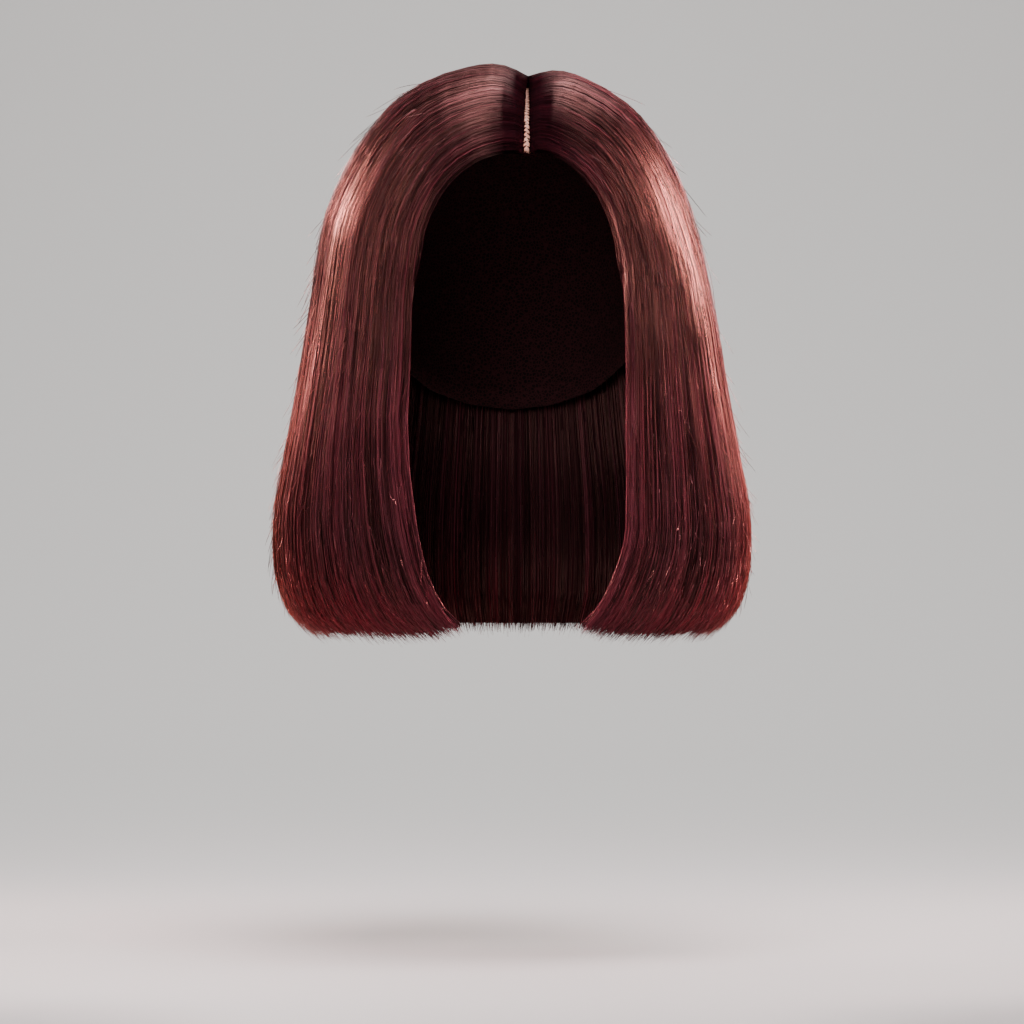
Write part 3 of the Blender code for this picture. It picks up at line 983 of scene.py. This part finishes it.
roots = {
    # lengths in millimetres
    "tuftSpacing": 2.2,  # along the parting
    "jitter": 0.18,  # of a tuft, as a share of the spacing
    "hairs": 9,  # in each tuft
    "points": 6,  # along a hair
    "begin": (0.05, 0.6),  # away from the middle of the parting
    "reach": (2.8, 4.8),
    "forward": (2.4, 4.2),  # towards the front
    "spread": 2.0,
    "spreadAtRoot": 0.15,  # share
    "pastHairline": 0.3,
    "lift": 0.1,  # over the lace
    "rise": 1.4,
    "risePower": 1.3,
    "radius": (0.09, 0.14),
    "rootThin": (0.5, 2.0),  # share of the radius at the root, and how fast it grows
    "tone": (0.25, 0.12),
    "crimson": 0.2,
    "fall": 0.02,  # shares of the dyes' map that a root hair takes
}


def rootHairs(side):
    # short hairs fan out from the lace in tufts, and it shows between them
    rng = np.random.default_rng(seeds["roots"][side])
    length = parting["crown"] - parting["hairline"]
    tufts = int(length / (roots["tuftSpacing"] * mm))
    count = tufts * roots["hairs"]
    t = np.linspace(0.0, 1.0, roots["points"])[None, :]
    tuft = np.repeat(np.arange(tufts), roots["hairs"])
    jitter = np.repeat(rng.normal(0.0, roots["jitter"], tufts), roots["hairs"])
    y = parting["hairline"] + length * (tuft + 0.5 + jitter)[:, None] / tufts
    fan = rng.uniform(-0.5, 0.5, (count, 1)) * roots["spread"] * mm
    begin = rng.uniform(*roots["begin"], (count, 1)) * mm
    reach = rng.uniform(*roots["reach"], (count, 1)) * mm
    forward = rng.uniform(*roots["forward"], (count, 1)) * mm
    x = parting["offset"] + side * (begin + reach * t)
    ys = y + fan * mix(roots["spreadAtRoot"], 1.0, t) - forward * t
    ys = np.maximum(ys, parting["hairline"] - roots["pastHairline"] * mm)
    level = cap["wall"] + parting["stripLift"] + parting["stripWall"]
    rise = level + (roots["lift"] + roots["rise"] * t[0] ** roots["risePower"]) * mm
    points = np.array(
        [
            [tuple(onCap(directionAbove(a, b), up)) for a, b, up in zip(*line, rise)]
            for line in zip(x, ys)
        ]
    )
    out = unit(points - np.array((0.0, 0.0, centreHeight)))
    rootShare, growth = roots["rootThin"]
    radius = rng.uniform(*roots["radius"], (count, 1)) * mm
    radius = radius * np.clip(rootShare + growth * t, 0.0, 1.0)
    tone = np.clip(rng.normal(*roots["tone"], (count, 1)), 0.0, 1.0) + 0.0 * t
    none = 0.0 * tone
    dyes = {"tone": tone, "copperGlow": none, "crimson": none + roots["crimson"], "lustre": none}
    along = np.clip((ys - parting["hairline"]) / length, 0.0, 1.0)
    uv = np.stack([along * hair["crownPlace"], roots["fall"] * t + none], axis=-1)
    name = "rootHairsLeft" if side < 0 else "rootHairsRight"
    settle(strandMesh(name, points, out, radius, dyes, uv, strandFibre), "fibre_side")


strays = {
    # count for each section, start and run as shares of a hair's length, how far it
    # stands off and its radius in millimetres, its tone
    "flying": {
        "count": 96,
        "start": (0.12, 0.93),
        "run": (0.022, 0.070),
        "lift": (2.5, 7.5),
        "radius": (0.12, 0.19),
        "tone": 0.40,
    },
    "lying": {
        "count": 120,
        "start": (0.12, 0.93),
        "run": (0.050, 0.150),
        "lift": (0.6, 1.1),
        "radius": (0.12, 0.18),
        "tone": 0.65,
    },
    "frayed": {
        "count": 150,
        "start": (0.60, 0.985),
        "run": (0.014, 0.034),
        "lift": (1.6, 5.0),
        "radius": (0.08, 0.13),
        "tone": 0.70,
    },
}

strayForm = {
    "points": 7,
    "furthest": 1.012,  # fall
    "drift": 0.010,  # sideways, share of one half
    "driftPower": 1.3,
    "liftPower": 1.2,
    "sunk": 0.1,  # millimetres
    "tipThin": (1.05, 4.0, 0.3),  # where the taper ends, how steep it is, share at the tip
    "toneSpread": 0.15,
}


def strayPaths(rng, side, low, high, kind, count):
    stray = strays[kind]
    t = np.linspace(0.0, 1.0, strayForm["points"])[None, :]
    place = rng.uniform(low, high, (count, 1))
    fall = rng.uniform(*stray["start"], (count, 1)) + rng.uniform(*stray["run"], (count, 1)) * t
    fall = np.minimum(fall, strayForm["furthest"])
    drift = rng.normal(0.0, strayForm["drift"], (count, 1))
    where = np.clip(place + drift * t ** strayForm["driftPower"], 0.0, 1.0)
    profile = np.sin(np.pi * t) if kind == "lying" else t ** strayForm["liftPower"]
    raised = (rng.uniform(*stray["lift"], (count, 1)) * profile - strayForm["sunk"]) * mm
    path, out = inHair(side, where, fall, 0.0, relief(side, where, fall) + raised)
    taperEnd, steepness, tipShare = strayForm["tipThin"]
    radius = rng.uniform(*stray["radius"], (count, 1)) * mm
    radius = radius * np.clip((taperEnd - t) * steepness, tipShare, 1)
    tones = np.clip(rng.normal(stray["tone"], strayForm["toneSpread"], (count, 1)), 0.0, 1.0)
    dyes = dyesAt(side, where, fall, tones)
    return path, out, radius, dyes, np.stack([where, np.clip(fall, 0, 1)], axis=-1)


def strayHairs(sectionName, seed):
    halves, _, slot = sections[sectionName]
    rng = np.random.default_rng(seed)
    parts = [
        strayPaths(rng, *half, kind, strays[kind]["count"] // len(halves))
        for half in halves
        for kind in strays
    ]
    settle(strandMesh(sectionName + "Strays", *gather(parts), strandFibre), slot)


rootHairs(-1)
rootHairs(1)
for order, sectionName in enumerate(sections):
    strayHairs(sectionName, seeds["strays"] + order)
print("roots and stray hairs ready")


# The cap and the parting strip
def rimHeight(angle):
    return -cap["depth"] * tableValue(cap["rim"], angle)


def capGrid(grow):
    grid = []
    for column in range(cap["columns"] + 1):
        turn = 2.0 * math.pi * column / cap["columns"]
        angle = math.degrees(math.atan2(math.sin(turn), abs(math.cos(turn))))
        level = rimHeight(angle) - centreHeight
        polar = math.acos(level / (fit["dome"] if level >= 0.0 else fit["lower"]))
        line = []
        for row in range(cap["rows"] + 1):
            tilt = polar * max(cap["poleShare"], row / cap["rows"])
            flat = Vector((math.cos(turn), math.sin(turn), 0.0)) * math.sin(tilt)
            line.append(tuple(onCap(flat + Vector((0.0, 0.0, math.cos(tilt))), grow)))
        grid.append(line)
    return np.array(grid)


def stripPoint(across, along, grow):
    front = parting["hairline"] + parting["stripInset"]
    back = parting["crown"] + parting["stripWidth"] / 2.0
    share = mix(parting["stripFront"], 1.0, float(smooth(along / parting["stripTaper"])))
    x = parting["offset"] + parting["stripWidth"] * share * across
    return tuple(onCap(directionAbove(x, mix(front, back, along)), cap["wall"] + grow))


def stripGrid(grow):
    across = np.linspace(-0.5, 0.5, parting["stripColumns"] + 1)
    along = np.linspace(0.0, 1.0, parting["stripRows"] + 1)
    return np.array([[stripPoint(a, b, grow) for b in along] for a in across])


def makeWall(name, outer, inner, material, slot, node):
    columns, rows = outer.shape[:2]
    across, down = np.linspace(0, 1, columns), np.linspace(0, 1, rows)
    uv = np.stack(np.meshgrid(across, down, indexing="ij"), axis=-1)
    settle(wallMesh(name, outer, inner, uv, material), slot, node)


makeWall("netCap", capGrid(cap["wall"]), capGrid(0.0), knittedNet(), "cap_net", "wig_cap")
stripOuter = stripGrid(parting["stripLift"] + parting["stripWall"])
stripInner = stripGrid(parting["stripLift"])
makeWall("partingLace", stripOuter, stripInner, silkLace(), "parting_lace", "parting_strip")
print("cap and parting ready")


# The studio
studio = {
    "floorHeight": -0.457,
    "paper": ("#bebbb9", 0.9, 0.1),  # colour, roughness, specular level
    "nearEdge": -4.0,
    "backdropStart": 1.6,
    "backdropRadius": 1.2,
    "backdropSteps": 16,
    "backdropHeight": 3.2,
    "halfWidth": 5.0,
    "cameraDistance": 2.2,
    "cameraHeight": -0.222,
    "frameWidth": 0.5427,  # what the photograph's width covers at the wig
    "sensor": 36.0,  # millimetres
    "air": ("#e6e4e2", 0.12),  # colour and strength of the light from all round
    "lamps": (  # name, place, target, size, watts, spread in degrees, colour
        ("frontSoftbox", (-0.3, -1.9, 0.55), (0.0, 0.0, -0.12), (0.9, 1.5), 18.0, 150, "#ffffff"),
        ("overhead", (0.12, -0.25, 0.75), (0.03, -0.02, 0.0), (1.10, 0.40), 7.0, 70, "#fff0f4"),
        ("leftRear", (-1.00, 1.10, 0.42), (-0.05, 0.0, -0.08), (0.22, 0.32), 2.5, 17, "#fff2f0"),
        ("rightRear", (1.00, 1.10, 0.40), (0.05, 0.0, -0.09), (0.22, 0.32), 3.0, 17, "#fff2f0"),
        ("leftSide", (-1.5, -0.26, 0.46), (-0.05, 0.0, -0.06), (0.46, 0.44), 2.7, 18, "#ffcfc4"),
        ("rightSide", (1.5, -0.26, 0.44), (0.05, 0.0, -0.08), (0.46, 0.44), 3.2, 18, "#ffcfc4"),
        ("backdropWash", (0.0, 1.0, 1.7), (0.0, 1.9, -0.45), (2.4, 0.8), 64.0, 150, "#ffffff"),
    ),
}


def makeStage():
    # a floor of pale matt paper that bends up into the backdrop
    profile = [(studio["nearEdge"], 0.0), (studio["backdropStart"], 0.0)]
    radius, steps = studio["backdropRadius"], studio["backdropSteps"]
    for step in range(1, steps + 1):
        turn = math.pi / 2.0 * step / steps
        y = studio["backdropStart"] + radius * math.sin(turn)
        profile.append((y, radius * (1.0 - math.cos(turn))))
    profile.append((profile[-1][0], studio["backdropHeight"]))
    points = []
    for y, z in profile:
        for x in (-studio["halfWidth"], studio["halfWidth"]):
            points.append((x, y, studio["floorHeight"] + z))
    faces = [(2 * i, 2 * i + 1, 2 * i + 3, 2 * i + 2) for i in range(len(profile) - 1)]
    mesh = bpy.data.meshes.new("paleStage")
    mesh.from_pydata(points, [], faces)
    mesh.shade_smooth()
    colour, roughness, specular = studio["paper"]
    material, _, shader = newMaterial("palePaper")
    shader.inputs["Base Color"].default_value = linear(colour)
    shader.inputs["Roughness"].default_value = roughness
    shader.inputs["Specular IOR Level"].default_value = specular
    mesh.materials.append(material)
    stage = bpy.data.objects.new("paleStage", mesh)
    bpy.context.scene.collection.objects.link(stage)


def addLight(name, place, target, size, power, spread, colour):
    lamp = bpy.data.lights.new(name, "AREA")
    lamp.shape = "RECTANGLE"
    lamp.size, lamp.size_y = size
    lamp.energy = power
    lamp.spread = math.radians(spread)
    lamp.color = linear(colour)[:3]
    thing = bpy.data.objects.new(name, lamp)
    thing.location = place
    thing.rotation_euler = (Vector(target) - Vector(place)).to_track_quat("-Z", "Y").to_euler()
    bpy.context.scene.collection.objects.link(thing)


def addAir():
    colour, strength = studio["air"]
    world = bpy.data.worlds.new("studioAir")
    world.use_nodes = True
    background = world.node_tree.nodes["Background"]
    background.inputs[0].default_value = linear(colour)
    background.inputs[1].default_value = strength
    bpy.context.scene.world = world


def addCamera():
    lens = bpy.data.cameras.new("camera")
    lens.sensor_width = studio["sensor"]
    lens.lens = studio["sensor"] * studio["cameraDistance"] / studio["frameWidth"]
    camera = bpy.data.objects.new("camera", lens)
    camera.location = (0.0, -studio["cameraDistance"], studio["cameraHeight"])
    camera.rotation_euler = (math.radians(90.0), 0.0, 0.0)
    bpy.context.scene.collection.objects.link(camera)
    bpy.context.scene.camera = camera


makeStage()
for lamp in studio["lamps"]:
    addLight(*lamp)
addAir()
addCamera()
print("studio ready")
